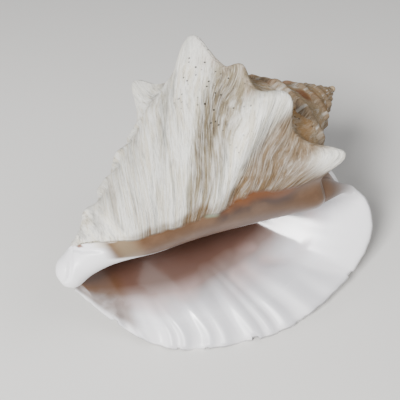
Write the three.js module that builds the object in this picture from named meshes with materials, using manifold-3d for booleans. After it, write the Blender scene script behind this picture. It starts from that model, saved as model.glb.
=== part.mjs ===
// Queen conch shell, lying on the rim of its flared lip and on a knob of its back.
//
// The shell is modelled in a whorl frame and turned into its resting pose at the end. In the whorl
// frame z runs along the coiling axis towards the apex, x towards the lip and y towards the back.
// Azimuths are degrees about z. The shell grew with falling azimuth, so what was laid down one
// whorl earlier has an azimuth 360 degrees higher. Lengths are millimetres.
import * as THREE from "three";
import { mergeVertices } from "three/addons/utils/BufferGeometryUtils.js";
import Module from "manifold-3d";

// Coil
const APEX_Z = 78;
const CANAL_Z = -134;
const WHORL_RATIO = 1.65;
const REFERENCE_AZIMUTH = 180;
const SHOULDER_RADIUS = 57;
const SHOULDER_DEPTH = 77;
const RAMP_HOLLOW = 3;
const SUTURE_TUCK = 3;
const CANAL_RADIUS = 7.5;
const CANAL_BULB = 1.5;
const CANAL_BEND = { x: -2.5, y: 6 };
const CANAL_BEND_FROM = -75;
const BODY_TAPER = 1.5;
const COLUMELLA_SLIMNESS = 0.6;
const COLUMELLA_WAIST = 1;

// The shoulder drops below the coil on the back, before it rises again to the lip
const SHOULDER_DROP = 13;
const WALL = 4.5;

// Where the body wall ends and the lip begins, and how far back the hollow reaches
const LIP_START = 90;
const LIP_LAP = 6;
const LIP_LAP_INSET = 1;
const LIP_TURN = 105;
const LIP_CANAL_END = 0.955;
const HOLLOW_START = 83;
const HOLLOW_END = 223;
const HOLLOW_CLOSING = 0.6;
const HOLLOW_BITE = 0.7;
const SPIRE_MIDDLE = LIP_START + 360 * 3;
const SPIRE_END = LIP_START + 360 * 6;

// Share of the profile that is ramp, from the suture to the shoulder
const SHOULDER_AT = 0.3;

// Shoulder knobs of the last whorl: azimuth, reach from the axis, rise towards the apex, width
const KNOBS = [
  { azimuth: 65, reach: 33.6, rise: 0, width: 16 },
  { azimuth: 101, reach: 26, rise: 0, width: 15 },
  { azimuth: 141, reach: 30, rise: -4, width: 14 },
  { azimuth: 185, reach: 20, rise: 5, width: 16 },
  { azimuth: 215, reach: 7, rise: 6, width: 9 },
  { azimuth: 246, reach: 14, rise: 7, width: 13 },
  { azimuth: 285, reach: 15, rise: 13, width: 11 },
  { azimuth: 322, reach: 9, rise: 0, width: 24 },
];
const KNOB_RIB = 0.14;
const EARLY_KNOBS_FROM = 375;
const EARLY_KNOB_SPACING = 40;
const EARLY_KNOB_REACH = 5;
const EARLY_KNOB_WIDTH = 12;

// Low lumps in rows under the shoulder: share of the profile, height
const LUMP_ROWS = [
  { at: 0.5, height: 2.5 },
  { at: 0.606, height: 4.2 },
  { at: 0.704, height: 4.2 },
  { at: 0.8, height: 3.4 },
];
const LUMP_AZIMUTH = 152;
const LUMP_SPREAD = 26;

// Rim of the lip, from the suture end round to the canal: share of the profile, place
const RIM = [
  { at: 0.0, x: 30, y: -24, z: 32 },
  { at: 0.07, x: 47, y: -14, z: 39 },
  { at: 0.12, x: 60, y: -8, z: 51 },
  { at: 0.16, x: 75, y: -3, z: 59 },
  { at: 0.21, x: 94, y: -2, z: 54 },
  { at: 0.25, x: 106, y: -2, z: 41 },
  { at: 0.3, x: 114, y: 0, z: 23 },
  { at: 0.45, x: 115, y: -2, z: -27 },
  { at: 0.58, x: 105, y: 2, z: -61 },
  { at: 0.7, x: 88, y: 12, z: -95 },
  { at: 0.79, x: 73, y: 22, z: -111 },
  { at: 0.87, x: 54, y: 31, z: -121 },
  { at: 0.93, x: 35, y: 29, z: -126 },
  { at: 1.0, x: 12, y: 17, z: -130 },
];
const RIM_WALL = 2.6;
const LIP_PULL_FROM_BODY = 1.25;
const LIP_PULL_AT_RIM = 0.6;
const LIP_FAN_Z = -35;
const LIP_DROOP = -0.35;

// Web that fills the corner between the last whorl and the back end of the lip, from its edge inwards: azimuth
// and share of the profile on the whorl, and u and share of the profile on the lip
const WEB = [
  { at: 0, azimuth: 294, whorl: 0.305, u: 0.995, lip: 0.083 },
  { at: 0.2, azimuth: 298, whorl: 0.318, u: 0.985, lip: 0.112 },
  { at: 0.4, azimuth: 306, whorl: 0.33, u: 0.97, lip: 0.142 },
  { at: 0.6, azimuth: 319, whorl: 0.338, u: 0.94, lip: 0.163 },
  { at: 0.8, azimuth: 336, whorl: 0.345, u: 0.885, lip: 0.175 },
  { at: 1, azimuth: 360, whorl: 0.345, u: 0.79, lip: 0.172 },
  { at: 1.25, azimuth: 400, whorl: 0.33, u: 0.5, lip: 0.12 },
];
const WEB_PULL_AT_EDGE = 0.15;
const WEB_PULL_INSIDE = 0.9;
const WEB_LAP = 0.9;

// Resting pose: heading and pitch of the coiling axis, roll about it, and the whorl frame's origin
const AXIS_HEADING = 36.5;
const AXIS_PITCH = 13.1;
const AXIS_ROLL = -38.4;
const ORIGIN_AT = [9.1, 11.5, 96];

// Points closer than this are one
const SLIVER = 0.02;

const SHELL_COLOUR = 0xe4dccf;
const SHELL_ROUGHNESS = 0.6;

const wasm = await Module();
wasm.setup();

const radians = THREE.MathUtils.degToRad;
const lerp = THREE.MathUtils.lerp;

// 0 at one value, 1 at another, and smooth between them
function smooth(value, from, to) {
  const t = THREE.MathUtils.clamp((value - from) / (to - from), 0, 1);
  return t * t * (3 - 2 * t);
}

// Size of the whorl at an azimuth, against its size at the reference azimuth
function growth(azimuth) {
  return WHORL_RATIO ** ((REFERENCE_AZIMUTH - azimuth) / 360);
}

function polar(azimuth, radius, z) {
  const angle = radians(azimuth);
  return new THREE.Vector3(radius * Math.cos(angle), radius * Math.sin(angle), z);
}

// Radius and height of the smooth whorl, without knobs, at a share of its profile
function plainProfile(azimuth, share) {
  const size = growth(azimuth);
  const drop = SHOULDER_DROP * smooth(azimuth, 178, 148) * (1 - 0.4 * smooth(azimuth, 125, 90));
  const coilZ = APEX_Z - SHOULDER_DEPTH * size;
  const shoulder = { r: SHOULDER_RADIUS * size, z: coilZ - drop };
  const taperAt = (z) => Math.cos(((Math.PI / 2) * (coilZ - z)) / (coilZ - CANAL_Z)) ** BODY_TAPER;
  if (share < SHOULDER_AT) {
    const before = size / WHORL_RATIO;
    const suture = {
      r: SHOULDER_RADIUS * before - 1,
      z: APEX_Z - SHOULDER_DEPTH * before - SUTURE_TUCK * before,
    };
    const along = share / SHOULDER_AT;
    const edge = CANAL_RADIUS + (shoulder.r - CANAL_RADIUS) * taperAt(shoulder.z);
    return {
      r: lerp(suture.r, edge, along),
      z: lerp(suture.z, shoulder.z, along) - RAMP_HOLLOW * size * Math.sin(Math.PI * along),
    };
  }
  const along = (share - SHOULDER_AT) / (1 - SHOULDER_AT);
  const z = lerp(shoulder.z, CANAL_Z, along);
  const slim = lerp(1, COLUMELLA_SLIMNESS, smooth(azimuth, 255, 370) * smooth(along, 0.02, 0.6));
  const tip = Math.sqrt(Math.max(0, 1 - Math.max(0, (along - 0.94) / 0.06) ** 2));
  const waist = COLUMELLA_WAIST * smooth(azimuth, 255, 330) * smooth(along, 0.5, 0.85);
  const bulb = CANAL_BULB * smooth(along, 0.88, 0.97);
  return {
    r: (CANAL_RADIUS + bulb - waist + (shoulder.r - CANAL_RADIUS) * taperAt(z) * slim) * tip,
    z,
  };
}

// Height of one blunt cone, 1 at its centre, from distances in units of its half width
function cone(across, along) {
  const distance = Math.hypot(across, along, 0.3) - 0.3;
  return Math.exp(-1.9 * distance ** 1.3);
}

function knobs() {
  const early = [];
  for (let azimuth = EARLY_KNOBS_FROM; azimuth < SPIRE_END; azimuth += EARLY_KNOB_SPACING) {
    const size = growth(azimuth);
    early.push({ azimuth, reach: EARLY_KNOB_REACH * size, rise: 0, width: EARLY_KNOB_WIDTH });
  }
  return [...KNOBS, ...early];
}
const ALL_KNOBS = knobs();

// How far the knobs and the ribs below them push the whorl outwards and towards the apex
function knobLift(azimuth, share) {
  const lift = { r: 0, z: 0 };
  const along = share < SHOULDER_AT ? (SHOULDER_AT - share) / 0.1 : (share - SHOULDER_AT) / 0.1;
  const fade = share < SHOULDER_AT ? 0 : 1 - smooth(share, SHOULDER_AT, 0.7);
  for (const knob of ALL_KNOBS) {
    const across = (azimuth - knob.azimuth) / knob.width;
    const height = cone(across, along);
    lift.r += knob.reach * (height + KNOB_RIB * fade * (1 - height) * Math.exp(-across * across));
    lift.z += knob.rise * height;
  }
  return lift;
}

// Height of the lumps under the shoulder
function lumpLift(azimuth, share) {
  const fade = Math.exp(-(((azimuth - LUMP_AZIMUTH) / LUMP_SPREAD) ** 2));
  let height = 0;
  for (const row of LUMP_ROWS) {
    height += row.height * Math.exp(-(((share - row.at) / 0.028) ** 2));
  }
  return height * fade;
}

function profile(azimuth, share) {
  const plain = plainProfile(azimuth, share);
  const lift = knobLift(azimuth, share);
  return { r: plain.r + lift.r + lumpLift(azimuth, share), z: plain.z + lift.z };
}

// Point in the whorl frame, where the canal bends away from the mouth
function bent(azimuth, r, z) {
  const along = THREE.MathUtils.clamp((CANAL_BEND_FROM - z) / (CANAL_BEND_FROM - CANAL_Z), 0, 1);
  const point = polar(azimuth, r, z);
  point.x += CANAL_BEND.x * Math.sin(Math.PI * along) ** 2;
  point.y += CANAL_BEND.y * smooth(along, 0, 1);
  return point;
}

// Azimuths from one to another, closer together around each knob
function azimuthSteps(from, to, offsets) {
  const steps = new Set([from, to]);
  for (const knob of ALL_KNOBS) {
    for (const offset of offsets) {
      const azimuth = knob.azimuth + offset;
      if (azimuth > from + 1 && azimuth < to - 1) {
        steps.add(azimuth);
      }
    }
  }
  return [...steps].sort((a, b) => a - b);
}

// Solid from a closed set of triangles over shared points
function solidOf(points, triangles) {
  const geometry = new THREE.BufferGeometry().setFromPoints(points);
  geometry.setIndex(triangles.flat());
  const merged = mergeVertices(geometry, 1e-4);
  const index = merged.index.array;
  const kept = [];
  for (let i = 0; i < index.length; i += 3) {
    const [a, b, c] = [index[i], index[i + 1], index[i + 2]];
    if (a !== b && b !== c && c !== a) {
      kept.push(a, b, c);
    }
  }
  const mesh = new wasm.Mesh({
    numProp: 3,
    vertProperties: new Float32Array(merged.attributes.position.array),
    triVerts: new Uint32Array(kept),
  });
  mesh.merge();
  return new wasm.Manifold(mesh);
}

// Solid swept round the axis through closed outlines of radius and height, one at each azimuth
function sweep(azimuths, outlineAt) {
  const flat = azimuths.map(outlineAt);
  const outlines = flat.map((outline, row) => outline.map(({ r, z }) => bent(azimuths[row], r, z)));
  return tube(outlines, fill(flat[0]), fill(flat.at(-1)));
}

// Triangles that fill a flat outline
function fill(outline) {
  const flat = outline.map(({ r, z }) => new THREE.Vector2(r, z));
  return THREE.ShapeUtils.triangulateShape(flat, []);
}

const RAMP_STEPS = [0, 0.2, 0.4, 0.58, 0.74, 0.88];
const SIDE_STEPS = [0, 0.04, 0.09, 0.15, 0.22, 0.3, 0.37, 0.43, 0.5, 0.57, 0.64, 0.71, 0.78, 0.85, 0.91, 0.96,
  0.99, 1];
const RAMP_SHARES = RAMP_STEPS.map((step) => step * SHOULDER_AT);
const SIDE_SHARES = SIDE_STEPS.map((step) => lerp(SHOULDER_AT, 1, step));

// Last whorl, solid from its surface to the axis
function bodyWhorl() {
  const shares = [...RAMP_SHARES, ...SIDE_SHARES];
  return wedges(LIP_START, LIP_START + 360, [-12, -6.5, -3, 0, 3, 6.5, 12, 20], (azimuth) => {
    const outline = shares.map((share) => profile(azimuth, share));
    return [{ r: 0, z: outline[0].z }, ...outline];
  });
}

// Earlier whorls, of which only the ramp and the knobs show, in wider steps towards the apex
function spire() {
  const shares = [...RAMP_SHARES, SHOULDER_AT, SHOULDER_AT + 0.04];
  const outlineAt = (azimuth) => {
    const outline = shares.map((share) => profile(azimuth, share));
    return [{ r: 0, z: outline[0].z }, ...outline, { r: 0, z: outline.at(-1).z }];
  };
  const lower = wedges(LIP_START + 360, SPIRE_MIDDLE, [-9, -3, 0, 3, 9, 20], outlineAt);
  return lower.add(wedges(SPIRE_MIDDLE, SPIRE_END, [0, 20], outlineAt));
}

// Sweep in wedges of a third of a turn each, so that no wedge meets itself
function wedges(from, to, offsets, outlineAt) {
  let whole = null;
  for (let start = from; start < to; start += 120) {
    const wedge = sweep(azimuthSteps(start, start + 120, offsets), outlineAt);
    whole = whole ? whole.add(wedge) : wedge;
  }
  return whole;
}

// Hollow between the wall and the whorl before it, from the mouth back round the columella
function hollow() {
  const wallShares = [0.13, 0.2, 0.26, 0.31, 0.37, 0.45, 0.53, 0.61, 0.69, 0.77, 0.84];
  const coreShares = [0.37, 0.39, 0.41, 0.44, 0.48, 0.53, 0.58, 0.63, 0.69, 0.76, 0.83];
  const azimuths = [];
  for (let azimuth = HOLLOW_START; azimuth <= HOLLOW_END; azimuth += 14) {
    azimuths.push(azimuth);
  }
  return sweep(azimuths, (azimuth) => {
    const closing = HOLLOW_CLOSING * smooth(azimuth, HOLLOW_END - 90, HOLLOW_END);
    const wall = wallShares.map((share) => insetProfile(azimuth, share));
    const core = coreShares.map((share, i) => {
      const point = plainProfile(azimuth + 360, share);
      const across = wall[i];
      const r = Math.min(point.r - HOLLOW_BITE, across.r - 1);
      return { r: lerp(r, across.r, closing), z: lerp(point.z, across.z, closing) };
    });
    return [...wall, ...core.reverse()];
  });
}

// Inside of the wall: the smooth profile moved inwards by the wall's thickness
function insetProfile(azimuth, share) {
  const step = 0.005;
  const here = plainProfile(azimuth, share);
  const before = plainProfile(azimuth, share - step);
  const after = plainProfile(azimuth, share + step);
  const length = Math.hypot(after.r - before.r, after.z - before.z);
  return {
    r: here.r + (WALL * (after.z - before.z)) / length,
    z: here.z - (WALL * (after.r - before.r)) / length,
  };
}

// Point of the smooth rim at a share of the profile
function rimPoint(share) {
  const { x, y, z } = curveAt(RIM, share, ["x", "y", "z"]);
  return new THREE.Vector3(x, y, z);
}

// Values of smooth curves through the rows of a table, at a place along it
function curveAt(rows, place, names) {
  let i = 0;
  while (i < rows.length - 2 && place > rows[i + 1].at) {
    i += 1;
  }
  const slope = (k, name) => {
    const low = Math.max(0, k - 1);
    const high = Math.min(rows.length - 1, k + 1);
    return (rows[high][name] - rows[low][name]) / (rows[high].at - rows[low].at);
  };
  const span = rows[i + 1].at - rows[i].at;
  const t = (place - rows[i].at) / span;
  const values = {};
  for (const name of names) {
    const bend = (t - 2 * t ** 2 + t ** 3) * slope(i, name) + (t ** 3 - t ** 2) * slope(i + 1, name);
    values[name] = lerp(rows[i][name], rows[i + 1][name], 3 * t ** 2 - 2 * t ** 3) + bend * span;
  }
  return values;
}

function hermite(start, startSlope, end, endSlope, t) {
  const point = new THREE.Vector3();
  point.addScaledVector(start, 2 * t ** 3 - 3 * t ** 2 + 1);
  point.addScaledVector(startSlope, t ** 3 - 2 * t ** 2 + t);
  point.addScaledVector(end, -2 * t ** 3 + 3 * t ** 2);
  point.addScaledVector(endSlope, t ** 3 - t ** 2);
  return point;
}

// Smooth outer face of the lip: u runs from inside the body wall (0) to the rim (1)
function lipPoint(u, share) {
  const startAzimuth = LIP_START + LIP_LAP;
  const held = Math.min(share, LIP_CANAL_END);
  const here = plainProfile(startAzimuth, held);
  const next = plainProfile(startAzimuth - 1, held);
  const start = bent(startAzimuth, here.r, here.z);
  const ahead = bent(startAzimuth - 1, next.r, next.z).sub(start).normalize();
  const end = rimPoint(share);
  const span = start.distanceTo(end);
  const outward = new THREE.Vector3(1, LIP_DROOP, (end.z - LIP_FAN_Z) / end.x).normalize();
  const around = new THREE.Vector3(-0.35, -0.9, 0.1);
  const flare = outward.lerp(around, 1 - smooth(share, 0.03, 0.22));
  ahead.multiplyScalar(span * LIP_PULL_FROM_BODY);
  flare.multiplyScalar(span * LIP_PULL_AT_RIM);
  return hermite(start, ahead, end, flare, u);
}

// Direction from the lip's inner face to its outer face
function lipNormal(u, share) {
  const step = 0.004;
  const held = THREE.MathUtils.clamp(share, step, LIP_CANAL_END - step);
  const alongGrowth = lipPoint(Math.min(1, u + step), held).sub(lipPoint(Math.max(0, u - step), held));
  const alongShare = lipPoint(u, held + step).sub(lipPoint(u, held - step));
  return alongGrowth.cross(alongShare).normalize();
}

// Push of the knobs on the lip's outer face: outwards like the wall's at first, and then along its normal
function lipLift(u, share, normal) {
  const azimuth = LIP_START + LIP_LAP - LIP_TURN * u;
  const lift = knobLift(azimuth, share);
  const push = polar(azimuth, 1, 0).lerp(normal, smooth(u, 0, 0.25)).multiplyScalar(lift.r);
  push.z += lift.z;
  return push.multiplyScalar(1 - smooth(u, 0.5, 0.9));
}

// Flared lip as a sheet of its own thickness, thinnest at the rim, lapped into the body wall
function lip() {
  const us = [0, 0.07, 0.14, 0.2, 0.25, 0.295, 0.34, 0.39, 0.45, 0.53, 0.62, 0.72, 0.81, 0.9, 1];
  const closer = [0.09, 0.15, 0.2, 0.245, 0.282, 0.345];
  const shares = [...RAMP_SHARES, ...SIDE_SHARES, ...closer].sort((a, b) => a - b);
  const outer = [];
  const inner = [];
  for (const u of us) {
    const lap = LIP_LAP_INSET * (1 - smooth(u, 0, 0.14));
    for (const share of shares) {
      const point = lipPoint(u, share);
      const normal = lipNormal(u, share);
      outer.push(point.clone().add(lipLift(u, share, normal)).addScaledVector(normal, -lap));
      inner.push(point.clone().addScaledVector(normal, lap - lerp(WALL, RIM_WALL, u)));
    }
  }
  return sheet(outer, inner, us.length, shares.length);
}

// Point inside the lip's wall, at a depth from its outer face
function lipDepth(u, share, depth) {
  return lipPoint(u, share).addScaledVector(lipNormal(u, share), -depth);
}

// Web between the last whorl and the lip: a hollow face in front, and the corner behind it filled
function web() {
  const steps = [0, 0.08, 0.18, 0.3, 0.42, 0.55, 0.68, 0.82, 0.97, 1.1, 1.25];
  const acrosses = [0, 0.14, 0.32, 0.5, 0.68, 0.86, 1];
  const outlines = steps.map((at) => {
    const { azimuth, whorl, u, lip: share } = curveAt(WEB, at, ["azimuth", "whorl", "u", "lip"]);
    const whorlPoint = (along, inset) => {
      const { r, z } = profile(azimuth, along);
      return bent(azimuth, r - inset, z);
    };
    const wall = lerp(WALL, RIM_WALL, u);
    const start = whorlPoint(whorl, WEB_LAP);
    const end = lipDepth(u, share, wall - WEB_LAP);
    const pull = start.distanceTo(end) * lerp(WEB_PULL_AT_EDGE, WEB_PULL_INSIDE, smooth(at, 0, 0.6));
    const startSlope = whorlPoint(whorl - 0.02, WEB_LAP).sub(start).setLength(pull);
    const endSlope = lipDepth(u, share + 0.02, wall - WEB_LAP).sub(end).setLength(pull);
    const face = acrosses.map((across) => hermite(start, startSlope, end, endSlope, across));
    const inLip = [0.7, 0.35, 0.02].map((part) => lipDepth(u, share * part, wall / 2));
    const inWhorl = [0.1, 0.17, 0.24].map((along) => whorlPoint(along, 3));
    return [...face, ...inLip, ...inWhorl].reverse();
  });
  const ends = ladder(outlines[0].length);
  return tube(outlines, ends, ends);
}

// Triangles across a closed outline, from both its sides in turn
function ladder(count) {
  const triangles = [];
  let low = 0;
  let high = count - 1;
  while (high - low > 1) {
    triangles.push([low, high, low + 1]);
    low += 1;
    if (high - low > 1) {
      triangles.push([low, high, high - 1]);
      high -= 1;
    }
  }
  return triangles;
}

// Solid through closed outlines of points, with the triangles that fill its two ends
function tube(outlines, firstEnd, lastEnd) {
  const count = outlines[0].length;
  const last = (outlines.length - 1) * count;
  const triangles = [];
  for (let row = 0; row < last; row += count) {
    for (let i = 0; i < count; i += 1) {
      const next = (i + 1) % count;
      triangles.push([row + i, row + next, row + i + count]);
      triangles.push([row + next, row + next + count, row + i + count]);
    }
  }
  for (const [a, b, c] of firstEnd) {
    triangles.push([a, b, c]);
  }
  for (const [a, b, c] of lastEnd) {
    triangles.push([last + a, last + c, last + b]);
  }
  return solidOf(outlines.flat(), triangles);
}

// Closed sheet between two grids of points, given row by row
function sheet(outer, inner, rows, columns) {
  const offset = outer.length;
  const triangles = [];
  const quad = (a, b, c, d) => triangles.push([a, b, c], [a, c, d]);
  for (let row = 0; row + 1 < rows; row += 1) {
    for (let column = 0; column + 1 < columns; column += 1) {
      const a = row * columns + column;
      quad(a, a + columns, a + columns + 1, a + 1);
      quad(offset + a, offset + a + 1, offset + a + columns + 1, offset + a + columns);
    }
    const first = row * columns;
    const last = first + columns - 1;
    quad(first, offset + first, offset + first + columns, first + columns);
    quad(last, last + columns, offset + last + columns, offset + last);
  }
  for (let column = 0; column + 1 < columns; column += 1) {
    const end = (rows - 1) * columns + column;
    quad(column, column + 1, offset + column + 1, offset + column);
    quad(end, offset + end, offset + end + 1, end + 1);
  }
  return solidOf([...outer, ...inner], triangles);
}

// Triangles without those that have shrunk to a line, or that lie back to back on one another
function withoutSlivers(index) {
  const faces = new Map();
  for (let i = 0; i < index.length; i += 3) {
    const face = [index[i], index[i + 1], index[i + 2]];
    if (new Set(face).size === 3) {
      const key = [...face].sort((a, b) => a - b).join();
      faces.set(key, [...(faces.get(key) ?? []), face]);
    }
  }
  const kept = [...faces.values()].filter((same) => same.length % 2 === 1);
  return kept.map((same) => same[0]);
}

// Largest surface among triangles that are joined edge to edge, where an edge has just two of them
function largestSurface(faces) {
  const group = faces.map((_, face) => face);
  const root = (face) => {
    let top = face;
    while (group[top] !== top) {
      group[top] = group[group[top]];
      top = group[top];
    }
    return top;
  };
  const edges = new Map();
  faces.forEach(([a, b, c], face) => {
    for (const [from, to] of [[a, b], [b, c], [c, a]]) {
      const key = Math.min(from, to) + "," + Math.max(from, to);
      edges.set(key, [...(edges.get(key) ?? []), face]);
    }
  });
  for (const sides of edges.values()) {
    if (sides.length === 2) {
      group[root(sides[0])] = root(sides[1]);
    }
  }
  const surfaces = new Map();
  faces.forEach((points, face) => {
    const key = root(face);
    surfaces.set(key, [...(surfaces.get(key) ?? []), points]);
  });
  return [...surfaces.values()].reduce((best, surface) => (surface.length > best.length ? surface : best));
}

function shellGeometry() {
  const shell = bodyWhorl().add(spire()).subtract(hollow()).add(lip()).add(web());
  const mesh = shell.getMesh();
  const joined = new THREE.BufferGeometry();
  joined.setAttribute("position", new THREE.BufferAttribute(mesh.vertProperties, 3));
  joined.setIndex(new THREE.BufferAttribute(mesh.triVerts, 1));
  const geometry = mergeVertices(joined, SLIVER);
  geometry.setIndex(largestSurface(withoutSlivers(geometry.index.array)).flat());
  const pose = new THREE.Matrix4().makeTranslation(...ORIGIN_AT)
    .multiply(new THREE.Matrix4().makeRotationZ(radians(AXIS_HEADING)))
    .multiply(new THREE.Matrix4().makeRotationY(radians(90 - AXIS_PITCH)))
    .multiply(new THREE.Matrix4().makeRotationZ(radians(AXIS_ROLL)));
  geometry.applyMatrix4(pose);
  geometry.computeVertexNormals();
  return geometry;
}

const material = new THREE.MeshStandardMaterial({
  color: SHELL_COLOUR,
  roughness: SHELL_ROUGHNESS,
  metalness: 0,
});
const shell = new THREE.Mesh(shellGeometry(), material);
shell.name = "queen_conch_shell";

const part = new THREE.Group();
part.add(shell);
export default part;
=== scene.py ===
"""Queen conch shell lying on the rim of its lip and on a spine of its back.

The shell is one surface. Its rows follow growth, from the apex round the whorls and out over the lip,
round the rim and back along the inside of the wall. Its columns follow the whorl's profile, from the
suture (share 0) over the shoulder to the tip of the canal (share 1). Azimuths are degrees about the
coiling axis and fall as the shell grows. Shapes are worked out in millimetres in the whorl frame. A pair
of values whose name ends in OVER is where something starts to come in, and where it is fully there.
"""

import math

import bpy
import numpy as np
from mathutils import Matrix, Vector


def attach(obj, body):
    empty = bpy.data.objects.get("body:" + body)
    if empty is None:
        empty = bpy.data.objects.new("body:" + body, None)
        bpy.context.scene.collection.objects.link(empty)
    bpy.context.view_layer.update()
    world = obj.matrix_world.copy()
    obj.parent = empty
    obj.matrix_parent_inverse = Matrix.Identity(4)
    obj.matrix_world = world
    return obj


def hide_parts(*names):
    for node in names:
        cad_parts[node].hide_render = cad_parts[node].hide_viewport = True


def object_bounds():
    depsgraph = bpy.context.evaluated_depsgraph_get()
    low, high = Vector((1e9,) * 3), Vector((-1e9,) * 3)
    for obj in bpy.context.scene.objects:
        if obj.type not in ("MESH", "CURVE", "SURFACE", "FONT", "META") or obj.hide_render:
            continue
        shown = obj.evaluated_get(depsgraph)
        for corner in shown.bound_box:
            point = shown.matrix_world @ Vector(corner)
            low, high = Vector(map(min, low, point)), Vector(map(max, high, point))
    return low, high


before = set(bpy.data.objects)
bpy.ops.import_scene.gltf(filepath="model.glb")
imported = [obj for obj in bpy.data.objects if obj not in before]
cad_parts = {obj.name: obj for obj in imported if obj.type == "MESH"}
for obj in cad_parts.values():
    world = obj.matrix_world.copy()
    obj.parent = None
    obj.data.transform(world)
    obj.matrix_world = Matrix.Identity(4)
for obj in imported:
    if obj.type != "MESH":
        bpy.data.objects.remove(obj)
cad_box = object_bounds()

MM = 0.001

# Coil: heights on its axis, radii of the reference whorl, and shares of the profile
APEX_Z = 78
CANAL_Z = -134
WHORL_RATIO = 1.65
REFERENCE_AZIMUTH = 180
SHOULDER_RADIUS = 57
SHOULDER_DEPTH = 77
SHOULDER_AT = 0.3
SHOULDER_ROUNDING = 0.03
SHOULDER_ROUNDING_WIDTH = 0.06
SHOULDER_DROP = 13
SHOULDER_DROP_OVER = (178, 148)
SHOULDER_RECOVERY = 0.4
SHOULDER_RECOVERY_OVER = (125, 90)
RAMP_HOLLOW = 3
SUTURE_TUCK = 3
SUTURE_LAP = 1
BODY_TAPER = 1.5
WALL = 4.5

# Canal and columella
CANAL_RADIUS = 7.5
CANAL_BULB = 1.5
CANAL_BEND_X = -2.5
CANAL_BEND_Y = 6
CANAL_BEND_FROM = -75
TIP_ROUNDED_FROM = 0.94
TIP_PULL = 0.8
TIP_PULL_FROM = -115
COLUMELLA_SLIMNESS = 0.6
COLUMELLA_SLIM_OVER = (255, 370)
COLUMELLA_WAIST = 1
COLUMELLA_WAIST_OVER = (255, 330)

# Knobs of the shoulder: azimuth, reach outwards, rise towards the apex, width in degrees
KNOBS = [
    (65, 33.6, 0, 16),
    (101, 26, 0, 15),
    (141, 30, -4, 14),
    (185, 20, 5, 16),
    (215, 7, 6, 9),
    (246, 14, 7, 13),
    (285, 15, 13, 11),
    (322, 9, 0, 24),
]

# Shape of a knob: width as a share of the profile, how blunt its top and how steep and curved its flank
# is, then the rib below it as a part of its reach, and the share where that rib ends
KNOB_WIDTH = 0.1
KNOB_BLUNTNESS = 0.3
KNOB_STEEPNESS = 1.9
KNOB_CURVE = 1.3
KNOB_RIB = 0.14
KNOB_RIB_END = 0.7

# Small knobs of the spire, whose reach shrinks with the whorl
EARLY_KNOBS = range(375, 1530, 40)
EARLY_KNOB_REACH = 5
EARLY_KNOB_WIDTH = 12

# Low lumps in rows under the shoulder of the back: share of the profile, height
LUMP_ROWS = [
    (0.5, 2.5),
    (0.606, 4.2),
    (0.704, 4.2),
    (0.8, 3.4),
]
LUMP_WIDTH = 0.028
LUMP_AZIMUTH = 152
LUMP_SPREAD = 26

# Rim of the lip: share of the profile and place, from the suture end to the canal
RIM = np.array([
    (0.0, 30, -24, 32),
    (0.07, 47, -14, 39),
    (0.12, 60, -8, 51),
    (0.16, 75, -3, 59),
    (0.21, 94, -2, 54),
    (0.25, 106, -2, 41),
    (0.3, 114, 0, 23),
    (0.45, 115, -2, -27),
    (0.58, 105, 2, -61),
    (0.7, 88, 12, -95),
    (0.79, 73, 22, -111),
    (0.87, 54, 31, -121),
    (0.93, 35, 29, -126),
    (1.0, 12, 17, -130),
])

# Thickness of the wall at the rim, and the part of the lip over which it rounds off
RIM_WALL = 2.6
RIM_ROUNDING = 0.05

# Lip: azimuth where it leaves the body, degrees of growth that it counts for, last share it starts from
LIP_FROM = 96
LIP_TURN = 105
LIP_CANAL_END = 0.955
SHORTEST_LIP = 20

# How far the lip's curve holds its direction at each end, and how its rim fans out and droops
LIP_PULL_FROM_BODY = 1.25
LIP_PULL_AT_RIM = 0.6
LIP_FAN_Z = -35
LIP_DROOP = -0.35

# Direction of the lip's suture end, and the shares over which the rest of the lip turns away from it
LIP_CORNER = np.array([-0.35, -0.9, 0.1])
LIP_CORNER_OVER = (0.03, 0.22)

# Web that fills the corner between the last whorl and the back end of the lip: place along it from its
# edge inwards, azimuth and share of the profile on the whorl, u and share of the profile on the lip
WEB = np.array([
    (0.0, 294, 0.305, 0.995, 0.083),
    (0.2, 298, 0.318, 0.985, 0.112),
    (0.4, 306, 0.33, 0.97, 0.142),
    (0.6, 319, 0.338, 0.94, 0.163),
    (0.8, 336, 0.345, 0.885, 0.175),
    (1.0, 360, 0.345, 0.79, 0.172),
    (1.25, 400, 0.33, 0.5, 0.12),
])
WEB_END = 1.25
WEB_PULL_AT_EDGE = 0.15
WEB_PULL_INSIDE = 0.9
WEB_PULL_OVER = (0, 0.6)
WEB_LAP = 0.3
WEB_CALLUS_FROM = 4
WEB_GLAZE_OVER = (0.2, 0.9)
WEB_ROWS = 44
WEB_COLUMNS = 26

# Edge of the web, which bulges and closes on the corners behind it at these columns
WEB_EDGE_BULGE = 2
WEB_CORNERS_AT = (0, 9, 13, 25)

# Skirt behind the web: from a share of the web's own on the lip to a share and a depth of the ramp
SKIRT_ON_LIP = 0.02
SKIRT_ON_RAMP = 0.1
SKIRT_DEPTH = 2

# Growth lines: how fast they sweep back from the shoulder to the canal, and across the ramp
LINE_SWEEP = 120
LINE_SWEEP_RISE = 4.2
RAMP_SWEEP = 70
LINE_WANDER = 3.5
NECK_LINES = 75
NECK_SLANT = 0.00028
NECK_OVER = (0.74, 0.84)

# Relief along the growth lines: heights, and widths in degrees
FOLD_HEIGHT = 0.9
FOLD_WIDTH = 17
RIDGE_HEIGHT = 0.5
RIDGE_WIDTH = 5.5
STRIA_HEIGHT = 0.28
STRIA_WIDTH = 2.6
NECK_RIDGE_HEIGHT = 1.1
NECK_RIDGE_LENGTH = 50

# Fine cords that run round the whorls, and how much of the relief the worn spire has lost
CORDS = 34
CORD_HEIGHT = 0.25
SPIRE_OVER = (420, 520)
SPIRE_WEAR = 0.6

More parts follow.
